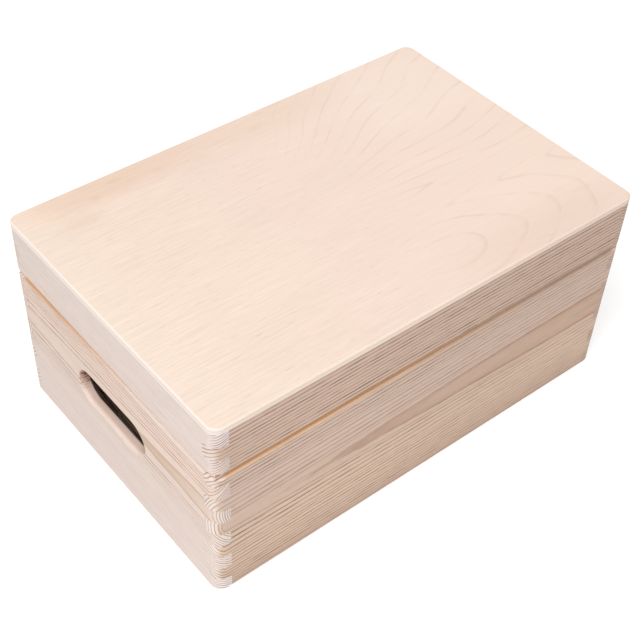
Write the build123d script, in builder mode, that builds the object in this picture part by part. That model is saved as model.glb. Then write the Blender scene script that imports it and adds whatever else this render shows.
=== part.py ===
from build123d import *
from math import cos, pi, sin
import os

# A wooden box for papers and keepsakes. Four pine boards are joined by comb fingers, rounded at the
# corners and cut through into a base and a lid. A plywood sheet covers the lid, another is let in
# under the base, and two butt hinges carry the lid at the back. Lengths are in millimetres.
# +X runs along the box, the front is at -Y, +Z is up, and the origin is the middle of the underside.

os.makedirs("parts", exist_ok=True)

# Outside form
box_length = 300.0
box_width = 197.0
corner_radius = 6.5
edge_ease = 0.8

# Boards and comb rows, counted from the foot; the end boards hold the even rows
walls_height = 131.3
board_thickness = 9.5
base_rows = 10
lid_rows = 3

# Plywood sheets
top_sheet_thickness = 4.0
bottom_sheet_thickness = 4.0
bottom_sheet_lap = 5.0
bottom_sheet_play = 0.2

# Shadow groove along the outer top edge of the base, and the saw cut above it
groove_height = 5.0
groove_depth = 1.9
lid_gap = 0.2

# Hand holes through both ends, a little behind the middle
hand_hole_length = 65.5
hand_hole_height = 23.3
hand_hole_centre_y = 2.0
hand_hole_centre_height = 58.6
hand_hole_round_over = 3.0
hand_hole_round_over_steps = 4
hand_hole_inner_bevel = 3.0

# Butt hinges
hinge_to_box_end = 55.0
hinge_length = 30.0
hinge_inset = 1.0
leaf_thickness = 1.0
knuckle_count = 3
knuckle_gap = 0.2
knuckle_clearance = 0.4
pin_radius = 1.0
pin_play = 0.05
pin_overhang = 0.4
recess_play = 0.1

# Countersunk screws
screw_spacing = 18.0
screw_length = 9.0
screw_shank_radius = 1.1
screw_head_radius = 2.1
screw_play = 0.05

# Heights that follow
finger_height = walls_height / (base_rows + lid_rows)
base_height = base_rows * finger_height
lid_foot = base_height + lid_gap
box_height = walls_height + top_sheet_thickness
groove_foot = base_height - groove_height

# Plan positions that follow
inner_length = box_length - 2 * board_thickness
inner_width = box_width - 2 * board_thickness
long_wall_y = (box_width - board_thickness) / 2
end_wall_x = (box_length - board_thickness) / 2
widest_rim = 0.45 * board_thickness

# Hinge positions that follow
barrel_radius = pin_radius + pin_play + leaf_thickness
hinge_y = box_width / 2 + knuckle_clearance + barrel_radius
hinge_z = base_height + lid_gap / 2
leaf_inner_y = inner_width / 2 + hinge_inset
leaf_bed_outer_y = box_width / 2 - groove_depth
screw_y = (leaf_inner_y + leaf_bed_outer_y) / 2
knuckle_width = (hinge_length - (knuckle_count - 1) * knuckle_gap) / knuckle_count
hinges = {"left": hinge_to_box_end - box_length / 2, "right": box_length / 2 - hinge_to_box_end}


# The outside of the whole box: upright corners rounded, foot and top edges eased
with BuildPart() as outside_form:
    with BuildSketch(Plane.XY):
        RectangleRounded(box_length, box_width, corner_radius)
    extrude(amount=box_height)
    chamfer(outside_form.faces().filter_by(Axis.Z).edges(), edge_ease)

# The shadow groove is cut straight along each side, so it runs out on the rounded corners
with BuildPart() as groove_cut:
    with BuildSketch(Plane.XY.offset(groove_foot)):
        Rectangle(box_length, box_width)
        Rectangle(box_length - 2 * groove_depth, box_width - 2 * groove_depth, mode=Mode.SUBTRACT)
    extrude(amount=groove_height)

# The space for the bottom sheet: the inside of the box and a lap under every wall
with BuildPart() as bottom_cut:
    with BuildSketch(Plane.XY):
        Rectangle(inner_length + 2 * bottom_sheet_lap, inner_width + 2 * bottom_sheet_lap)
    extrude(amount=bottom_sheet_thickness)


def comb_sockets(length, rows):
    """Centres of the sockets at both ends of a board, for the other board's fingers."""
    reach = (length - board_thickness) / 2
    return [(end * reach, (row + 0.5) * finger_height) for end in (-1, 1) for row in rows]


def comb_board(length, foot, top, rows):
    """Draws a board's elevation with its comb sockets in the current sketch."""
    with Locations((0, (foot + top) / 2)):
        Rectangle(length, top - foot)
    with Locations(*comb_sockets(length, rows)):
        Rectangle(board_thickness, finger_height, mode=Mode.SUBTRACT)


def screw_points(hinge_x):
    """Plan positions of the two screws in one hinge leaf."""
    return [(hinge_x + side * screw_spacing / 2, screw_y) for side in (-1, 1)]


# Base walls, front and back: sockets in the even rows
base_end_rows = range(0, base_rows, 2)
base_long_rows = range(1, base_rows, 2)

with BuildPart() as base_front_wall:
    with BuildSketch(Plane.XZ.offset(long_wall_y)):
        comb_board(box_length, 0, base_height, base_end_rows)
    extrude(amount=board_thickness / 2, both=True)
    add(groove_cut.part, mode=Mode.SUBTRACT)
    add(bottom_cut.part, mode=Mode.SUBTRACT)
    add(outside_form.part, mode=Mode.INTERSECT)
base_front_wall.part.label = "base_front_wall"
export_step(base_front_wall.part, "parts/base_front_wall.step")

with BuildPart() as base_back_wall:
    with BuildSketch(Plane.XZ.offset(-long_wall_y)):
        comb_board(box_length, 0, base_height, base_end_rows)
    extrude(amount=board_thickness / 2, both=True)
    add(groove_cut.part, mode=Mode.SUBTRACT)
    add(bottom_cut.part, mode=Mode.SUBTRACT)
    add(outside_form.part, mode=Mode.INTERSECT)
    for hinge_x in hinges.values():
        with BuildSketch(Plane.XY.offset(base_height)):
            with Locations((hinge_x, (leaf_inner_y - recess_play + box_width / 2) / 2)):
                Rectangle(hinge_length + 2 * recess_play, box_width / 2 - leaf_inner_y + recess_play)
        extrude(amount=-leaf_thickness, mode=Mode.SUBTRACT)
        with BuildSketch(Plane.XY.offset(base_height)):
            with Locations(*screw_points(hinge_x)):
                Circle(screw_shank_radius + screw_play)
        extrude(amount=-screw_length - screw_play, mode=Mode.SUBTRACT)
base_back_wall.part.label = "base_back_wall"
export_step(base_back_wall.part, "parts/base_back_wall.step")


def distance_from_middle(face):
    """How far an upright face stands from the middle of the box along X."""
    return abs(face.center().X)


def base_end_wall(name, end):
    """An end board of the base, at end -1 or 1 along X, with a rounded-over hand hole."""
    with BuildPart() as wall:
        with BuildSketch(Plane.YZ.offset(end * end_wall_x)):
            comb_board(box_width, 0, base_height, base_long_rows)
        extrude(amount=board_thickness / 2, both=True)
        with BuildSketch(Plane.YZ.offset(end * end_wall_x)):
            with Locations((hand_hole_centre_y, hand_hole_centre_height)):
                SlotOverall(hand_hole_length, hand_hole_height)
        extrude(amount=board_thickness / 2, both=True, mode=Mode.SUBTRACT)
        inner_face = wall.faces().filter_by(Axis.X).sort_by(distance_from_middle)[0]
        chamfer(inner_face.inner_wires().edges(), min(hand_hole_inner_bevel, widest_rim))
        # The outer rim's round-over: slots that widen along a quarter circle, lofted together
        radius = min(hand_hole_round_over, widest_rim)
        for step in range(hand_hole_round_over_steps + 1):
            turn = step / hand_hole_round_over_steps * pi / 2
            depth = radius * (1 - sin(turn))
            growth = 2 * radius * (1 - cos(turn))
            with BuildSketch(Plane.YZ.offset(end * (box_length / 2 - depth))):
                with Locations((hand_hole_centre_y, hand_hole_centre_height)):
                    SlotOverall(hand_hole_length + growth, hand_hole_height + growth)
        loft(ruled=True, mode=Mode.SUBTRACT)
        add(groove_cut.part, mode=Mode.SUBTRACT)
        add(bottom_cut.part, mode=Mode.SUBTRACT)
        add(outside_form.part, mode=Mode.INTERSECT)
    wall.part.label = name
    export_step(wall.part, f"parts/{name}.step")


base_end_wall("base_left_wall", -1)
base_end_wall("base_right_wall", 1)

# Bottom sheet, flush with the foot of the walls
with BuildPart() as base_panel:
    with BuildSketch(Plane.XY):
        lap = bottom_sheet_lap - bottom_sheet_play
        Rectangle(inner_length + 2 * lap, inner_width + 2 * lap)
    extrude(amount=bottom_sheet_thickness)
base_panel.part.label = "base_panel"
export_step(base_panel.part, "parts/base_panel.step")

# Lid walls carry on the same rows above the saw cut
lid_end_rows = [row for row in range(base_rows, base_rows + lid_rows) if row % 2 == 0]
lid_long_rows = [row for row in range(base_rows, base_rows + lid_rows) if row % 2 == 1]

with BuildPart() as lid_front_wall:
    with BuildSketch(Plane.XZ.offset(long_wall_y)):
        comb_board(box_length, lid_foot, walls_height, lid_end_rows)
    extrude(amount=board_thickness / 2, both=True)
    add(outside_form.part, mode=Mode.INTERSECT)
lid_front_wall.part.label = "lid_front_wall"
export_step(lid_front_wall.part, "parts/lid_front_wall.step")

with BuildPart() as lid_back_wall:
    with BuildSketch(Plane.XZ.offset(-long_wall_y)):
        comb_board(box_length, lid_foot, walls_height, lid_end_rows)
    extrude(amount=board_thickness / 2, both=True)
    add(outside_form.part, mode=Mode.INTERSECT)
    for hinge_x in hinges.values():
        with BuildSketch(Plane.XY.offset(lid_foot)):
            with Locations((hinge_x, (leaf_inner_y - recess_play + box_width / 2) / 2)):
                Rectangle(hinge_length + 2 * recess_play, box_width / 2 - leaf_inner_y + recess_play)
        extrude(amount=leaf_thickness, mode=Mode.SUBTRACT)
        with BuildSketch(Plane.XY.offset(lid_foot)):
            with Locations(*screw_points(hinge_x)):
                Circle(screw_shank_radius + screw_play)
        extrude(amount=screw_length + screw_play, mode=Mode.SUBTRACT)
lid_back_wall.part.label = "lid_back_wall"
export_step(lid_back_wall.part, "parts/lid_back_wall.step")


def lid_end_wall(name, end):
    """An end board of the lid, at end -1 or 1 along X."""
    with BuildPart() as wall:
        with BuildSketch(Plane.YZ.offset(end * end_wall_x)):
            comb_board(box_width, lid_foot, walls_height, lid_long_rows)
        extrude(amount=board_thickness / 2, both=True)
        add(outside_form.part, mode=Mode.INTERSECT)
    wall.part.label = name
    export_step(wall.part, f"parts/{name}.step")


lid_end_wall("lid_left_wall", -1)
lid_end_wall("lid_right_wall", 1)

# Top sheet, laid over all four lid walls
with BuildPart() as lid_panel:
    with BuildSketch(Plane.XY.offset(walls_height)):
        Rectangle(box_length, box_width)
    extrude(amount=top_sheet_thickness)
    add(outside_form.part, mode=Mode.INTERSECT)
lid_panel.part.label = "lid_panel"
export_step(lid_panel.part, "parts/lid_panel.step")


def hinge_leaf(name, hinge_x, face_z, outward, own_knuckles):
    """A leaf with its knuckles. Its outer face is at face_z and looks along Z by outward."""
    with BuildPart() as leaf:
        with BuildSketch(Plane.XY.offset(face_z)):
            with Locations((hinge_x, (leaf_inner_y + hinge_y) / 2)):
                Rectangle(hinge_length, hinge_y - leaf_inner_y)
        extrude(amount=-outward * leaf_thickness)
        for number in range(knuckle_count):
            knuckle_x = hinge_x - hinge_length / 2 + number * (knuckle_width + knuckle_gap)
            if number in own_knuckles:
                with BuildSketch(Plane.YZ.offset(knuckle_x)):
                    with Locations((hinge_y, hinge_z)):
                        Circle(barrel_radius)
                extrude(amount=knuckle_width)
            else:
                reach = barrel_radius + knuckle_clearance
                with BuildSketch(Plane.XY.offset(face_z)):
                    with Locations((knuckle_x + knuckle_width / 2, hinge_y - reach / 2)):
                        Rectangle(knuckle_width + 2 * knuckle_gap, reach)
                extrude(amount=-outward * leaf_thickness, mode=Mode.SUBTRACT)
        with BuildSketch(Plane.YZ.offset(hinge_x)):
            with Locations((hinge_y, hinge_z)):
                Circle(pin_radius + pin_play)
        extrude(amount=hinge_length, both=True, mode=Mode.SUBTRACT)
        for point_x, point_y in screw_points(hinge_x):
            with Locations(Plane((point_x, point_y, face_z), x_dir=(1, 0, 0), z_dir=(0, 0, outward))):
                CounterSinkHole(
                    radius=screw_shank_radius + screw_play,
                    counter_sink_radius=screw_head_radius + screw_play,
                    depth=leaf_thickness,
                    counter_sink_angle=90,
                )
    leaf.part.label = name
    export_step(leaf.part, f"parts/{name}.step")


def hinge_pin(name, hinge_x):
    """The pin through all knuckles of one hinge."""
    with BuildPart() as pin:
        with BuildSketch(Plane.YZ.offset(hinge_x)):
            with Locations((hinge_y, hinge_z)):
                Circle(pin_radius)
        extrude(amount=hinge_length / 2 + pin_overhang, both=True)
    pin.part.label = name
    export_step(pin.part, f"parts/{name}.step")


def hinge_screws(name, hinge_x, face_z, outward):
    """The two countersunk screws of one leaf, with their heads flush in it."""
    head_depth = screw_head_radius - screw_shank_radius
    with BuildPart() as screws:
        for point_x, point_y in screw_points(hinge_x):
            head = (point_x, point_y, face_z)
            with BuildSketch(Plane(head, x_dir=(1, 0, 0), z_dir=(0, -outward, 0))):
                with BuildLine():
                    Polyline(
                        (0, 0),
                        (screw_head_radius, 0),
                        (screw_shank_radius, -head_depth),
                        (screw_shank_radius, -screw_length),
                        (0, -screw_length),
                        close=True,
                    )
                make_face()
            revolve(axis=Axis(head, (0, 0, 1)))
    screws.part.label = name
    export_step(screws.part, f"parts/{name}.step")


# Two hinges: the base leaf has the outer knuckles, the lid leaf the one between
base_knuckles = range(0, knuckle_count, 2)
lid_knuckles = range(1, knuckle_count, 2)

for side, hinge_x in hinges.items():
    hinge_leaf(f"{side}_hinge_base_leaf", hinge_x, base_height, 1, base_knuckles)
    hinge_leaf(f"{side}_hinge_lid_leaf", hinge_x, lid_foot, -1, lid_knuckles)
    hinge_pin(f"{side}_hinge_pin", hinge_x)
    hinge_screws(f"{side}_hinge_base_screws", hinge_x, base_height, 1)
    hinge_screws(f"{side}_hinge_lid_screws", hinge_x, lid_foot, -1)
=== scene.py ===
import math

import bmesh
import bpy
import numpy as np
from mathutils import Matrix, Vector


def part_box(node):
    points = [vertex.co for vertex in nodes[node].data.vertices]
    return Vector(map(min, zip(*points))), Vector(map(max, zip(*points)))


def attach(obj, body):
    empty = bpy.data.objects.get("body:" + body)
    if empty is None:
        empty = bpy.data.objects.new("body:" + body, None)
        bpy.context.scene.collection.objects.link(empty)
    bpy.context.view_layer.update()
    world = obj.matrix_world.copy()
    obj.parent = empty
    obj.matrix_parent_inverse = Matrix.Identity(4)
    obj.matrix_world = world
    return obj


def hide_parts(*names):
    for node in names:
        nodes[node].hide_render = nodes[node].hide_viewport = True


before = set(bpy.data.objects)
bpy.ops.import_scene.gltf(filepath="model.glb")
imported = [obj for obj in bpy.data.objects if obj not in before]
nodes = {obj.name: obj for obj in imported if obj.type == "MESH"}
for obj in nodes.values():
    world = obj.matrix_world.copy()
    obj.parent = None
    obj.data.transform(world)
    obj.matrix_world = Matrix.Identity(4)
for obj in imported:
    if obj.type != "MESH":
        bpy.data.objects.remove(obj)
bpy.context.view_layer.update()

# Camera: above and beyond the front left corner of the box, looking down on the lid. The lens is
# shifted a little, because the box stands right of and above the middle of the picture.
camera_lens = 69.792
camera_place = (-0.36250, -0.41281, 0.58239)
camera_turn = (43.989, -1.395, -38.236)
camera_shift = (0.0402, 0.0531)

camera_data = bpy.data.cameras.new("camera")
camera_data.lens = camera_lens
camera_data.shift_x, camera_data.shift_y = camera_shift
camera = bpy.data.objects.new("camera", camera_data)
camera.location = camera_place
camera.rotation_euler = [math.radians(angle) for angle in camera_turn]
bpy.context.scene.collection.objects.link(camera)
bpy.context.scene.camera = camera
bpy.context.scene.view_settings.view_transform = "Standard"


# Studio: a plain pale floor under an even white sky, and one wide soft lamp over the front left
# corner. To the camera the sky and the lit floor are white, and the floor keeps the box's shadow.
sky_strength = 0.56
floor_size = 12.0
floor_colour = (0.80, 0.80, 0.80, 1)
floor_whitening = 0.34
far_whitening = 0.25
far_from, far_to = 0.6, 2.6
lamp_place = (-1.20, -0.80, 2.35)
lamp_aim = (0.0, 0.0, 0.08)
lamp_size = 1.5
lamp_power = 44.0


class Wire:
    """One output in a material's nodes. Operators add Math nodes, and node() adds any other."""

    def __init__(self, tree, output):
        self.tree = tree
        self.output = output

    def node(self, kind, settings, inputs, output=0):
        """Adds a node: first its settings, then its inputs, each a plain value or another wire."""
        added = self.tree.nodes.new(kind)
        for name, value in settings.items():
            if name == "stops":
                stops = added.color_ramp.elements
                stops.remove(stops[1])
                stops[0].position, stops[0].color = value[0]
                for place, colour in value[1:]:
                    stops.new(place).color = colour
            else:
                setattr(added, name, value)
        for name, value in inputs.items():
            if isinstance(value, Wire):
                self.tree.links.new(value.output, added.inputs[name])
            else:
                added.inputs[name].default_value = value
        return Wire(self.tree, added.outputs[output])

    def maths(self, operation, *others):
        """A Math node on this value and any others."""
        inputs = dict(enumerate((self, *others)))
        return self.node("ShaderNodeMath", {"operation": operation}, inputs)

    def __add__(self, other):
        return self.maths("ADD", other)

    def __sub__(self, other):
        return self.maths("SUBTRACT", other)

    def __rsub__(self, other):
        return self.node("ShaderNodeMath", {"operation": "SUBTRACT"}, {0: other, 1: self})

    def __mul__(self, other):
        return self.maths("MULTIPLY", other)

    def __truediv__(self, other):
        return self.maths("DIVIDE", other)

    def __pow__(self, other):
        return self.maths("POWER", other)

    def __abs__(self):
        return self.maths("ABSOLUTE")

    __radd__ = __add__
    __rmul__ = __mul__


def smooth(value, low, high):
    """0 below low and 1 above high, with a smooth rise between; low may be the greater."""
    return value.node(
        "ShaderNodeMapRange", {"interpolation_type": "SMOOTHSTEP"},
        {"Value": value, "From Min": low, "From Max": high, "To Min": 0.0, "To Max": 1.0})


world = bpy.data.worlds.new("sky")
world.use_nodes = True
bpy.context.scene.world = world
rays = world.node_tree.nodes.new("ShaderNodeLightPath")
seen = Wire(world.node_tree, rays.outputs["Is Camera Ray"])
seen = seen.maths("MAXIMUM", Wire(world.node_tree, rays.outputs["Is Glossy Ray"]))
sky = world.node_tree.nodes["Background"]
world.node_tree.links.new((seen * (1 - sky_strength) + sky_strength).output, sky.inputs["Strength"])
sky.inputs["Color"].default_value = (1, 1, 1, 1)

floor_finish = bpy.data.materials.new("pale_floor")
floor_finish.use_nodes = True
tree = floor_finish.node_tree
seen = Wire(tree, tree.nodes.new("ShaderNodeLightPath").outputs["Is Camera Ray"])
places = Wire(tree, tree.nodes.new("ShaderNodeTexCoord").outputs["Object"])
distance = places.node("ShaderNodeVectorMath", {"operation": "LENGTH"}, {0: places}, "Value")
whitening = smooth(distance, far_from, far_to) * far_whitening + floor_whitening
paint = seen.node("ShaderNodeBsdfDiffuse", {}, {"Color": floor_colour})
glow = seen.node("ShaderNodeEmission", {}, {"Color": (1, 1, 1, 1), "Strength": seen * whitening})
both = seen.node("ShaderNodeAddShader", {}, {0: paint, 1: glow})
tree.links.new(both.output, tree.nodes["Material Output"].inputs["Surface"])

half = floor_size / 2
floor_mesh = bpy.data.meshes.new("floor")
floor_mesh.from_pydata(
    [(-half, -half, 0), (half, -half, 0), (half, half, 0), (-half, half, 0)], [], [(0, 1, 2, 3)])
floor_mesh.materials.append(floor_finish)
floor = bpy.data.objects.new("floor", floor_mesh)
bpy.context.scene.collection.objects.link(floor)

lamp_data = bpy.data.lights.new("key_lamp", "AREA")
lamp_data.size = lamp_size
lamp_data.energy = lamp_power
lamp = bpy.data.objects.new("key_lamp", lamp_data)
lamp.location = lamp_place
to_aim = np.subtract(lamp_aim, lamp_place)
lamp_turn = math.atan2(to_aim[1], to_aim[0]) - math.pi / 2
lamp_lean = math.atan2(math.hypot(to_aim[0], to_aim[1]), -to_aim[2])
lamp.rotation_euler = (lamp_lean, 0, lamp_turn)
bpy.context.scene.collection.objects.link(lamp)


# Front board: a pine board, sanded and left raw, sawn through into the front walls of the base and
# the lid. It was cut near the outside of the log, so its rings lie flat in the middle of the face
# and crowd towards its edges, and the rings show end on in the fingers at both ends.
half_length = 1000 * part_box("base_front_wall")[1].x
half_width = -1000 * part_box("base_front_wall")[0].y

# The saw cut between base and lid, and the shadow groove under it, in millimetres
parting = 101.1
groove_foot = 96.0
groove_depth = 1.9
groove_corner = 141.0

# Length, width and height of what makes up the grain, and how far the rings stray. The rings are
# counted from the flame's edge, where the first number is high enough that none is negative.
fibre_size = (16.0, 0.8, 0.8)
canal_size = (5.0, 0.7, 0.7)
break_size = (14.0, 1.2, 1.2)
cloud_size = (90.0, 14.0, 10.0)
waver_size, waver = (260.0, 60.0, 45.0), 1.8
ripple_size, ripple = (38.0, 12.0, 9.0), 0.4
first_reach = 1.5
first_ring = 20.0
far_contrast_from, far_contrast_to = -110.0, 130.0


def tint(red, green, blue):
    """A colour given in the usual 0 to 255 screen values, as Blender's linear colour."""
    shares = np.array([red, green, blue]) / 255
    linear = np.where(shares <= 0.04045, shares / 12.92, ((shares + 0.055) / 1.055) ** 2.4)
    return (*linear.tolist(), 1)


def split(vector):
    """The three values of a vector."""
    node = vector.node("ShaderNodeSeparateXYZ", {}, {0: vector}).output.node
    return [Wire(vector.tree, node.outputs[axis]) for axis in "XYZ"]


def new_finish(name):
    """A new material, the place on the object in millimetres, and the way its surface faces."""
    material = bpy.data.materials.new(name)
    material.use_nodes = True
    places = material.node_tree.nodes.new("ShaderNodeTexCoord")
    metres = Wire(material.node_tree, places.outputs["Object"])
    place = metres.node(
        "ShaderNodeVectorMath", {"operation": "SCALE"}, {0: metres, "Scale": 1000.0})
    return material, split(place), split(Wire(material.node_tree, places.outputs["Normal"]))


def coat(material, wires, values):
    """Joins wires to sockets of the material's shader, and sets other sockets to plain values."""
    shader = material.node_tree.nodes["Principled BSDF"]
    for socket, wire in wires.items():
        material.node_tree.links.new(wire.output, shader.inputs[socket])
    for socket, value in values.items():
        shader.inputs[socket].default_value = value


def bumps(relief, strength, distance):
    """The surface's direction with a relief of this distance in metres."""
    return relief.node(
        "ShaderNodeBump", {}, {"Height": relief, "Strength": strength, "Distance": distance})


def mottle(place, lengths, seed, detail=1.0):
    """Noise around 0.5 whose patches have these lengths in millimetres in the three directions."""
    along, across, height = place
    vector = along.node("ShaderNodeCombineXYZ", {}, {
        0: along / lengths[0], 1: across / lengths[1], 2: height / lengths[2]})
    return vector.node(
        "ShaderNodeTexNoise", {"noise_dimensions": "4D"},
        {"Vector": vector, "W": seed, "Scale": 1.0, "Detail": detail, "Roughness": 0.55})


def blend(share, first, second):
    """The first colour where share is 0 and the second where it is 1."""
    return share.node("ShaderNodeMix", {"data_type": "RGBA"}, {0: share, 6: first, 7: second}, 2)


def shade(colour, factor):
    """A colour made lighter or darker by a factor."""
    return colour.node("ShaderNodeVectorMath", {"operation": "SCALE"}, {0: colour, "Scale": factor})


def follow(place, stops):
    """A number or colour that follows a place in millimetres, from its values at a few places."""
    start, end = stops[0][0], stops[-1][0]
    ramp = []
    for at, value in stops:
        colour = tint(*value) if isinstance(value, tuple) else (value, value, value, 1)
        ramp.append(((at - start) / (end - start), colour))
    return place.node("ShaderNodeValToRGB", {"stops": ramp}, {0: (place - start) / (end - start)})


def cut_groove(along, height, inwards, on_ledge, deepest_shade_at, shade_gone_at, ledge, wall, plain):
    """Painted shade in the shadow groove, and 1 where it shows.

    The wall and ledge are painted orange-brown, standing in for the shade in the groove with warm
    light bounced between its faces, the ledge less than the wall. Towards one end this painted
    shade gives way to plain wood, where the lamp lights the groove. The wall is darker at the top,
    in the shade of the lid's edge.
    """
    shade_share = smooth(along, shade_gone_at, deepest_shade_at)
    groove_shade_colour = blend(shade_share, tint(*plain), blend(on_ledge, tint(*wall), tint(*ledge)))
    groove_shade_colour = shade(groove_shade_colour, 1 - smooth(height, groove_foot + 2.0, parting - 0.6) * 0.25)
    cut = (on_ledge + smooth(inwards, groove_depth - 0.9, groove_depth - 0.5)).maths("MINIMUM", 1.0)
    cut = cut * smooth(height, groove_foot - 0.4, groove_foot - 0.1)
    cut = cut * smooth(height, parting + 0.05, parting)
    cut = cut * smooth(inwards, groove_depth + 0.3, groove_depth)
    cut = cut * smooth(abs(along), groove_corner + 4, groove_corner)
    return groove_shade_colour, cut


def pine(name, runs, outer_face, seed, pith_depth, pith_height, pith_drift, ring_width, early, late,
         end_early, end_late, contrasts, tones, flame, groove, first_rings=0.0, far_contrasts=None,
         opening=None):
    """A board cut from a log: rings round a pith line, fibres along it, end grain at its ends.

    The ring number at a point is its distance from the pith line in ring widths. At the board's
    middle this line is pith_depth off the outer face, counted along X or Y, and pith_height up. It
    drifts along the board, so a ring comes up through the face and draws a pointed flame. Just
    outside the flame lie first_rings more rings, or fewer where that is negative. Within a ring
    the wood darkens slowly from early to late wood and jumps back to pale.

    early, end_early and contrasts are given by height, and tones and the flame's shares by the
    place along the board. far_contrasts take over towards its right or rear end. Lengths are in
    millimetres and colours are screen values from 0 to 255. opening is a function that colours
    the surfaces of a hole.
    """
    material, (x, y, height), (facing_x, facing_y, facing_z) = new_finish(name)
    along, across = (x, y) if runs == "X" else (y, x)
    facing_along, facing_out = (facing_x, facing_y) if runs == "X" else (facing_y, facing_x)
    place = (along, across, height)
    inwards = (across - outer_face) * (-1 if outer_face > 0 else 1)

    # End grain shows at the board's ends, and on the groove's ledge in the fingers
    on_ledge = smooth(facing_z, 0.4, 0.8)
    in_finger = smooth(abs(along), groove_corner, groove_corner + 1)
    on_end = smooth(abs(facing_along), 0.35, 0.9).maths("MAXIMUM", on_ledge * in_finger)

    # Fibres along the board, short darker resin canals, breaks in the lines, clouds in the colour
    fibres = mottle(place, fibre_size, seed + 2, 2.0) - 0.5
    canals = smooth(mottle(place, canal_size, seed + 3), 0.60, 0.72)
    breaks = smooth(mottle(place, break_size, seed + 5, 2.0), 0.38, 0.60)
    clouds = mottle(place, cloud_size, seed + 4) - 0.5

    # Distance from the pith line, which drifts along the board and wavers a little
    depth = (across - outer_face) - pith_depth - along * pith_drift
    rise = height - pith_height
    reach = (depth * depth + rise * rise) ** 0.5
    reach = reach + (mottle(place, waver_size, seed) - 0.5) * waver
    reach = reach + (mottle(place, ripple_size, seed + 1) - 0.5) * ripple
    outside = reach - abs(pith_depth + flame["start"] * pith_drift)

    # Rings of uneven width and strength, with the late wood as a line in each
    rings = outside * (1 - outside * 0.003) / ring_width
    rings = rings + smooth(outside, 0.0, first_reach) * first_rings + first_ring
    uneven = rings.node("ShaderNodeTexNoise", {"noise_dimensions": "1D"},
                        {"W": rings * 0.45 + seed, "Scale": 1.0, "Detail": 0.0})
    rings = rings + (uneven - 0.5) * 0.4 + fibres * (1 - on_end) * 0.25
    ring = rings.maths("FLOOR")
    within = rings - ring
    own = ring.node("ShaderNodeTexWhiteNoise", {"noise_dimensions": "1D"}, {"W": ring + seed})
    late_wood = smooth(within, 0.42, 0.9) ** 1.8 * (1 - smooth(within, 0.95, 1.0))
    late_wood = late_wood * (own * 0.5 + 0.5)

    # Faces along the board, where the lines are as strong as their height and place make them
    farther = smooth(along, far_contrast_from, far_contrast_to)
    contrast = follow(height, contrasts) * (1 - farther)
    contrast = contrast + follow(height, far_contrasts or contrasts) * farther
    lines = late_wood * contrast * (breaks * 0.5 + 0.5)
    in_flame = smooth(outside, 0.2, -0.4) * (1 - smooth(outside, -0.5, -2.0) * 0.55)
    flame_share = in_flame * follow(along, flame["shares"])
    face = blend(flame_share, follow(height, early), tint(*flame["colour"]))
    face = blend(lines * (1 - in_flame * 0.35), face, tint(*late))

    # End grain, and the light and dark of the whole board
    end = blend(late_wood, follow(height, end_early), tint(*end_late))
    tone = follow(along, tones) * (1 + fibres * (0.3 - on_end * 0.2) + clouds * 0.10)
    tone = tone - canals * (contrast * 0.13 + 0.03)
    colour = shade(blend(on_end, face, end), tone)

    # Painted shade: the shadow groove's wall and ledge get colours that stand in for the shade in
    # it
    groove_shade_colour, cut = cut_groove(along, height, inwards, on_ledge, **groove)
    colour = blend(cut * 0.9, colour, shade(groove_shade_colour, 1 + fibres * 0.4))
    if opening:
        colour = opening(colour, place, inwards, facing_out, fibres, breaks, seed)

    relief = fibres * 0.6 - late_wood * 0.4 - canals * 0.6
    coat(material, {
        "Base Color": colour, "Roughness": 0.72 - lines * 0.12 + fibres * 0.1,
        "Normal": bumps(relief, 0.25, 0.0002)}, {"Specular IOR Level": 0.25})
    return material


def finish_nodes(material, *names):
    """Gives CAD nodes this material by their slots."""
    for name in names:
        for slot in nodes[name].material_slots:
            slot.material = material


front_pine = pine(
    "front_pine", "X", outer_face=-half_width, seed=3.0,
    pith_depth=-28.0, pith_height=57.0, pith_drift=0.0075, ring_width=1.85, first_rings=1.0,
    early=[(0, (208, 177, 157)), (6, (221, 193, 172)), (22, (233, 205, 183)), (44, (232, 204, 182)),
           (53, (224, 196, 177)), (63, (224, 196, 178)), (74, (226, 199, 182)),
           (96, (223, 196, 179)), (104, (221, 192, 173)), (131, (223, 194, 176))],
    late=(104, 62, 34),
    end_early=[(0, (249, 237, 230)), (45, (255, 241, 231)), (60, (252, 238, 228)),
               (75, (246, 230, 219)), (131, (240, 223, 213))],
    end_late=(160, 120, 95),
    contrasts=[(0, 0.9), (15, 1.05), (44, 1.05), (51, 0.8), (54, 0.65), (61, 0.65), (65, 0.7),
               (72, 0.65), (90, 0.95), (104, 1.05), (131, 1.05)],
    far_contrasts=[(0, 0.6), (44, 0.65), (51, 0.9), (55, 0.2), (61, 0.2), (65, 0.9), (72, 0.6),
                   (90, 0.65), (98, 0.7), (104, 1.1), (131, 1.1)],
    tones=[(-150, 0.985), (-60, 1.0), (0, 0.955), (60, 0.93), (110, 0.93), (150, 0.94)],
    flame=dict(start=-138.0, colour=(204, 164, 134), shares=[
        (-150, 0.5), (-60, 0.45), (-30, 0.4), (5, 0.3), (50, 0.45), (150, 0.75)]),
    # painted shade in the shadow groove: its colours, and where the shade is deepest and where it
    # is gone
    groove=dict(deepest_shade_at=-80.0, shade_gone_at=110.0,
                ledge=(234, 206, 176), wall=(208, 160, 116), plain=(197, 171, 152)))
finish_nodes(front_pine, "base_front_wall", "lid_front_wall")


# Left end board: paler pine, with the hand hole routed through its lower half. Its pith lay towards
# the inside of the box, and a tan flame opens from the hand hole towards the front.
hole_centre = 2.0
hole_half_span = 36.0
hole_foot, hole_top = 43.5, 73.5
tear_size = (1.3, 5.0, 1.0)
flesh = (238, 216, 204)
rubbed_wood = (206, 172, 150)
reddened_wood = (196, 146, 122)
torn_wood = (104, 58, 42)
# Painted shade: the near-black colour for the hand hole's bevel and deep rim, the dark inside of
# the closed box
hole_shade_colour = (46, 27, 18)


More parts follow.
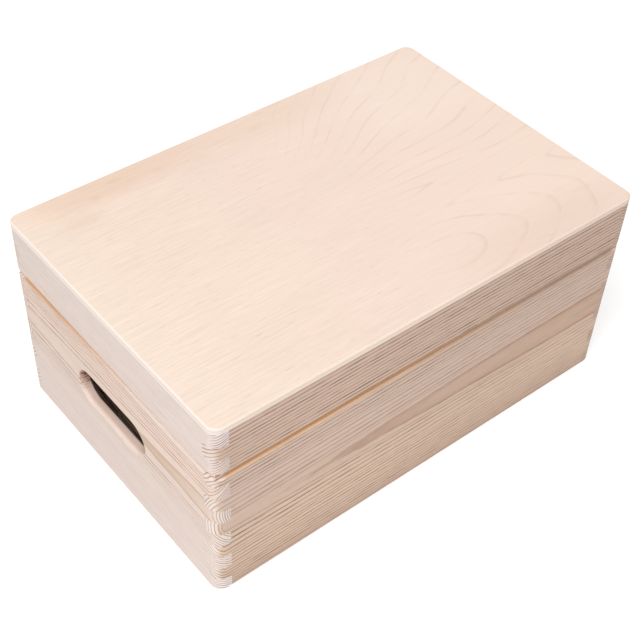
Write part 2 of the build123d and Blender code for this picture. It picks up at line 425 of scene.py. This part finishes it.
def hand_hole(colour, place, inwards, facing_out, fibres, breaks, seed):
    """A board's colour with the routed hole: rubbed below, torn at the rear, painted shade at the
    bevel.

    It covers the faces that turn away from the board's own face within the hole's outline.
    """
    along, across, height = place
    routed = smooth(abs(along - hole_centre), hole_half_span + 0.5, hole_half_span)
    routed = routed * smooth(height, hole_foot - 0.5, hole_foot)
    routed = routed * smooth(height, hole_top + 0.5, hole_top)
    routed = routed * smooth(inwards, 0.3, 1.2) * smooth(abs(facing_out), 0.97, 0.85)
    rear = smooth(along, hole_centre + hole_half_span * 0.35, hole_centre + hole_half_span * 0.75)
    rear = rear * smooth(height, hole_foot + 6, hole_foot + 14)
    rubbed = smooth(inwards, 1.5, 3.5) * smooth(height, hole_foot + 12, hole_foot + 6)
    tears = smooth(mottle(place, tear_size, seed + 7), 0.46, 0.58)
    # Painted shade: deep in the hole the wood is painted near black, standing in for the shadowed
    # inside of the closed box
    hole_shade = smooth(inwards, 5.8, 6.8)
    inside = blend(rubbed * 0.35, tint(*flesh), tint(*rubbed_wood))
    inside = blend(rear * 0.6, inside, tint(*reddened_wood))
    inside = shade(blend(tears * rear * 0.85, inside, tint(*torn_wood)), 1 + fibres * 0.3)
    inside = blend(hole_shade * (breaks * 0.2 + 0.75), inside, tint(*hole_shade_colour))
    return blend(routed, colour, inside)


left_pine = pine(
    "left_pine", "Y", outer_face=-half_length, seed=11.0,
    pith_depth=30.0, pith_height=68.0, pith_drift=0.015, ring_width=1.4, first_rings=-0.8,
    early=[(0, (236, 220, 212)), (45, (236, 219, 209)), (60, (237, 217, 205)),
           (75, (239, 217, 203)), (95, (239, 217, 203)), (106, (236, 220, 211)),
           (131, (236, 221, 212))],
    late=(172, 124, 92),
    end_early=[(0, (248, 235, 229)), (25, (247, 230, 220)), (50, (240, 224, 214)),
               (70, (240, 224, 214)), (85, (234, 213, 203)), (112, (232, 211, 202)),
               (131, (240, 224, 220))],
    end_late=(104, 68, 50),
    contrasts=[(0, 0.18), (40, 0.22), (47, 0.8), (57, 1.0), (62, 0.7), (74, 0.7), (80, 1.0),
               (94, 1.0), (103, 0.5), (110, 0.3), (131, 0.24)],
    tones=[(-98, 1.04), (-60, 1.01), (40, 0.98), (98, 0.97)],
    flame=dict(start=-26.0, colour=(219, 194, 170), shares=[
        (-98, 0.1), (-86, 0.35), (-60, 0.75), (98, 0.75)]),
    # painted shade in the shadow groove: its colours, and where the shade is deepest and where it
    # is gone
    groove=dict(deepest_shade_at=95.0, shade_gone_at=-60.0,
                ledge=(218, 180, 144), wall=(214, 170, 132), plain=(232, 220, 212)),
    opening=hand_hole)
finish_nodes(left_pine, "base_left_wall", "lid_left_wall")


# Back board: pine like the front board, sawn through the same way, with the hinges let into the
# edges of both halves. Its rings are a little wider.
back_pine = pine(
    "back_pine", "X", outer_face=half_width, seed=23.0,
    pith_depth=35.0, pith_height=74.0, pith_drift=-0.009, ring_width=1.9,
    early=[(0, (232, 204, 184)), (50, (238, 212, 193)), (90, (232, 205, 186)),
           (131, (234, 207, 190))],
    late=(134, 88, 58),
    end_early=[(0, (240, 224, 214)), (131, (236, 220, 210))],
    end_late=(180, 144, 122),
    contrasts=[(0, 0.7), (131, 0.8)],
    far_contrasts=[(0, 0.6), (131, 0.8)],
    tones=[(-150, 0.98), (150, 1.0)],
    flame=dict(start=60.0, colour=(216, 182, 156), shares=[(-150, 0.45), (150, 0.55)]),
    # painted shade in the shadow groove: its colours, and where the shade is deepest and where it
    # is gone
    groove=dict(deepest_shade_at=60.0, shade_gone_at=260.0,
                ledge=(240, 208, 166), wall=(206, 146, 98), plain=(222, 200, 184)))
finish_nodes(back_pine, "base_back_wall", "lid_back_wall")


# Right end board: the twin of the left one, routed with the same hand hole, from another plank with
# more even grain.
right_pine = pine(
    "right_pine", "Y", outer_face=half_length, seed=37.0,
    pith_depth=-30.0, pith_height=52.0, pith_drift=0.01, ring_width=1.4, first_rings=-0.5,
    early=[(0, (236, 216, 203)), (60, (232, 212, 198)), (131, (237, 218, 206))],
    late=(172, 124, 94),
    end_early=[(0, (208, 182, 165)), (131, (208, 182, 165))],
    end_late=(150, 118, 98),
    contrasts=[(0, 0.5), (60, 0.8), (131, 0.5)],
    far_contrasts=[(0, 0.4), (60, 0.7), (131, 0.5)],
    tones=[(-98, 1.0), (98, 0.98)],
    flame=dict(start=-84.0, colour=(224, 198, 174), shares=[(-98, 0.55), (98, 0.55)]),
    # painted shade in the shadow groove: its colours, and where the shade is deepest and where it
    # is gone
    groove=dict(deepest_shade_at=60.0, shade_gone_at=260.0,
                ledge=(236, 204, 166), wall=(214, 160, 114), plain=(222, 206, 196)),
    opening=hand_hole)
finish_nodes(right_pine, "base_right_wall", "lid_right_wall")


# Top sheet: thin plywood glued over the whole lid, with a pale rotary-cut face and three plies that
# show round its edge.

# Length, width and height of the marks in its face, then the face's contours
fleck_size = (9.0, 1.2, 9.0)
streak_size = (26.0, 1.3, 5.0)
gap_size = (22.0, 12.0, 9.0)
haze_size = (60.0, 24.0, 50.0)
wander_size, wander = (90.0, 60.0, 90.0), 2.2
stain_size = (24.0, 7.0, 20.0)
fan_hub = (-37.0, -1.0)
fan_step = 0.085
loop_centre = (28.0, -73.0)
loop_size = (27.0, 11.0)
loops_from, loops_to = -18.0, -42.0


def plywood(name, foot, thickness, face, edge, line, patches, seed):
    """A sheet of three plies with a rotary-cut face.

    The face's faint contours are the level lines of a field: rays that fan out from a hub to the
    back right, and rings round a spot at the front right. Short flecks lie along the sheet. Each
    patch is an oval with a place, two half widths, a share and a colour.
    """
    material, place, facing = new_finish(name)
    x, y, height = place
    streaks = mottle(place, streak_size, seed, 2.0) - 0.5
    flecks = smooth(mottle(place, fleck_size, seed + 5), 0.60, 0.74)
    flecks = flecks * (smooth(x, 70.0, -60.0) * 0.8 + 0.2)
    gaps = smooth(mottle(place, gap_size, seed + 6), 0.36, 0.60)
    haze = mottle(place, haze_size, seed + 1) - 0.5
    stains = smooth(mottle(place, stain_size, seed + 8), 0.58, 0.72)

    # Contours: rays from the hub, which give way to rings round the spot at the front
    fan = (y - fan_hub[1]).maths("ARCTAN2", x - fan_hub[0]) / fan_step
    loop_x = (x - loop_centre[0]) / loop_size[0]
    loop_y = (y - loop_centre[1]) / loop_size[1]
    loops = (loop_x * loop_x + loop_y * loop_y) ** 0.5
    lower = smooth(y, loops_from, loops_to)
    rings = fan * (1 - lower) + loops * lower
    rings = rings + (mottle(place, wander_size, seed + 2) - 0.5) * wander + 40.0
    within = rings - rings.maths("FLOOR")
    contour = smooth(within, 0.72, 0.95) ** 2 * (1 - smooth(within, 0.96, 1.0))
    contour = contour * (gaps * 0.8 + 0.2) * smooth(x, -10.0, 60.0) * abs(lower - 0.5) * 2.0

    leftwards = smooth(x, 110.0, -80.0) * 0.7 + 0.3
    top = shade(follow(x, face), 1 + streaks * leftwards * 0.24 + haze * 0.06)
    top = blend(contour * 0.17 + flecks * 0.20, top, tint(*line))
    for at_x, at_y, half_x, half_y, share, stain in patches:
        off_x, off_y = (x - at_x) / half_x, (y - at_y) / half_y
        near = smooth((off_x * off_x + off_y * off_y) ** 0.5, 1.0, 0.2)
        top = blend(near * (stains * 0.5 + 0.5) * share, top, tint(*stain))

    # Round the edge the middle ply is a little darker, because its grain runs the other way
    level = (height - foot) / thickness
    core = smooth(level, 0.28, 0.34) * (1 - smooth(level, 0.66, 0.72))
    side = shade(follow(x, edge), 1 - core * 0.06)
    colour = blend(smooth(abs(facing[2]), 0.5, 0.95), side, top)
    coat(material, {"Base Color": colour}, {"Specular IOR Level": 0.3, "Roughness": 0.6})
    return material


sheet_foot, sheet_top = (1000 * corner.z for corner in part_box("lid_panel"))
lid_plywood = plywood(
    "lid_plywood", sheet_foot, sheet_top - sheet_foot, seed=5.0,
    face=[(-150, (243, 223, 206)), (-100, (241, 219, 202)), (-20, (241, 218, 203)),
          (150, (245, 222, 206))],
    edge=[(-150, (252, 237, 228)), (-130, (253, 233, 216)), (-60, (254, 234, 216)),
          (60, (250, 225, 208)), (150, (244, 222, 208))],
    line=(196, 152, 122),
    patches=[
        (-90, 92, 90, 22, 0.6, (220, 178, 146)), (10, 92, 90, 30, 0.3, (222, 184, 150)),
        (-118, 70, 22, 9, 0.35, (206, 170, 134)), (95, -92, 100, 34, 0.4, (210, 176, 162)),
        (110, 60, 70, 60, 0.35, (254, 242, 230)), (-60, -20, 60, 50, 0.25, (252, 232, 214))])
finish_nodes(lid_plywood, "lid_panel")


# Bottom sheet: the same plywood with its plainer face up, let in flush under the four walls and
# glued in their rebate.
bottom_foot, bottom_top = (1000 * corner.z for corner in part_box("base_panel"))
bottom_plywood = plywood(
    "bottom_plywood", bottom_foot, bottom_top - bottom_foot, seed=9.0,
    face=[(-150, (232, 208, 186)), (150, (230, 206, 188))],
    edge=[(-150, (222, 204, 190)), (150, (222, 204, 190))],
    line=(180, 138, 108),
    patches=[(60, 40, 90, 60, 0.3, (214, 180, 150))])
finish_nodes(bottom_plywood, "base_panel")


# Hinges: two small butt hinges of pressed brass, let into the back boards, with a turned pin
# through their knuckles.
polish_size = (7.0, 0.16, 0.16)
tarnish_size = (6.0, 3.0, 3.0)
dull_brass, bright_brass = (194, 146, 90), (220, 178, 126)


def brass(name, seed):
    """Brass with fine strokes along X from its polishing, and a slight unevenness in colour."""
    material, place = new_finish(name)[:2]
    tarnish = mottle(place, tarnish_size, seed, 2.0) - 0.5
    strokes = mottle(place, polish_size, seed + 1, 2.0) - 0.5
    coat(material, {
        "Base Color": blend(tarnish + strokes * 0.8 + 0.5, tint(*dull_brass), tint(*bright_brass)),
        "Roughness": 0.34 + tarnish * 0.15 + strokes * 0.2,
        "Normal": bumps(strokes, 0.3, 0.00005)}, {"Metallic": 1.0})
    return material


leaf_brass = brass("leaf_brass", 2.0)
for side in ("left", "right"):
    finish_nodes(
        leaf_brass, f"{side}_hinge_base_leaf", f"{side}_hinge_lid_leaf", f"{side}_hinge_pin")


# Screws: in each leaf two countersunk wood screws of turned brass. Their slotted heads lie flush in
# the leaf, and below a short plain neck the thread runs out in a point.
head_radius = 2.1
head_depth = 1.0
neck_radius = 1.1
neck_end = 2.4
screw_length = 9.0
point_length = 2.6
point_rounding = 0.8
root_radius = 0.78
thread_pitch = 0.9
thread_start = 0.4
crest_width, crest_slope = 1.5, 3.4
slot_width = 0.62
slot_depth = 0.42
chords = 9
chord_points = 9
thread_rings = 67
weld_distance = 0.001
edge_angle = math.radians(35)


def grid_quads(rows, columns, start):
    """The quads of a grid whose vertices are numbered row by row from start."""
    corner = start + np.arange(rows - 1)[:, None] * columns + np.arange(columns - 1)
    return np.stack([corner, corner + columns, corner + columns + 1, corner + 1], -1).reshape(-1, 4)


def slotted_screw():
    """One screw along Z, with its head's face at z = 0: its points and quads, in millimetres.

    The face is a grid of chords parallel to the slot. Each chord runs from rim to rim, and the two
    inner ones are lowered to the slot's floor, where the cone of the head is narrower. The body
    starts at the rim and goes down ring by ring, and its radius rises to a crest where depth in
    pitches plus the angle in turns comes near a half turn past a whole number.
    """
    swing = np.linspace(0.0, np.arccos(slot_width / 2 / head_radius), chords)
    outer = head_radius * np.cos(swing)
    chord = np.concatenate([-outer, [-slot_width / 2, slot_width / 2], outer[::-1]])
    lowered = np.concatenate([np.zeros(chords), [slot_depth, slot_depth], np.zeros(chords)])
    reach = np.sqrt(np.maximum((head_radius - lowered) ** 2 - chord ** 2, 0))
    span = np.linspace(-1, 1, chord_points)
    face = np.stack(
        np.broadcast_arrays(chord[:, None], reach[:, None] * span, -lowered[:, None]), -1)

    rim = np.concatenate([face[:, 0], face[::-1, -1]])
    circle = np.sqrt(np.maximum(head_radius ** 2 - chord ** 2, 0))
    angle = np.arctan2(np.concatenate([-circle, circle[::-1]]), rim[:, 0])
    angle[0], angle[-1] = -np.pi, np.pi
    depth = np.linspace(neck_end, screw_length, thread_rings)
    depth = np.concatenate([[head_depth, neck_end - thread_start], depth])[:, None]
    taper = np.clip((screw_length - depth) / point_length, 0, 1)
    turns = depth / thread_pitch + angle / (2 * np.pi)
    crest = np.clip(crest_width - crest_slope * np.abs(turns - np.floor(turns) - 0.5), 0, 1)
    threaded = np.clip((depth - neck_end + thread_start) / thread_start, 0, 1)
    radius = neck_radius - threaded * (1 - crest) * (neck_radius - root_radius)
    radius = radius * taper ** point_rounding
    body = np.stack([radius * np.cos(angle), radius * np.sin(angle), -depth + 0 * angle], -1)
    body = np.concatenate([rim[None], body])

    points = np.concatenate([face.reshape(-1, 3), body.reshape(-1, 3)])
    quads = np.concatenate([
        grid_quads(*face.shape[:2], 0), grid_quads(*body.shape[:2], face.shape[0] * face.shape[1])])
    return points, quads


def screw_pair(name, node, body, outward, slot_turns):
    """One leaf's two screws in place of their CAD node, with their slots turned by two angles."""
    low, high = (1000 * np.array(corner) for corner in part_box(node))
    points, quads = slotted_screw()
    placed = []
    for x, turn in zip((low[0] + head_radius, high[0] - head_radius), slot_turns):
        cos, sin = math.cos(math.radians(turn)), math.sin(math.radians(turn))
        turned = points @ np.array([[cos, sin, 0], [-sin, cos, 0], [0, 0, 1]])
        head = [x, (low[1] + high[1]) / 2, high[2] if outward > 0 else low[2]]
        placed.append(turned * [1, outward, outward] + head)
    mesh = bpy.data.meshes.new(name)
    mesh.from_pydata(
        (np.concatenate(placed) / 1000).tolist(), [],
        np.concatenate([quads, quads + len(points)]).tolist())
    welded = bmesh.new()
    welded.from_mesh(mesh)
    bmesh.ops.remove_doubles(welded, verts=welded.verts, dist=weld_distance / 1000)
    welded.to_mesh(mesh)
    welded.free()
    mesh.shade_smooth()
    mesh.set_sharp_from_angle(angle=edge_angle)
    mesh.materials.append(screw_brass)
    pair = bpy.data.objects.new(name, mesh)
    bpy.context.scene.collection.objects.link(pair)
    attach(pair, body)
    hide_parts(node)


screw_brass = brass("screw_brass", 6.0)
screw_pair("left_base_screw_pair", "left_hinge_base_screws", "base", 1, (25, -50))
screw_pair("left_lid_screw_pair", "left_hinge_lid_screws", "lid", -1, (70, 8))
screw_pair("right_base_screw_pair", "right_hinge_base_screws", "base", 1, (-15, 40))
screw_pair("right_lid_screw_pair", "right_hinge_lid_screws", "lid", -1, (-65, 82))
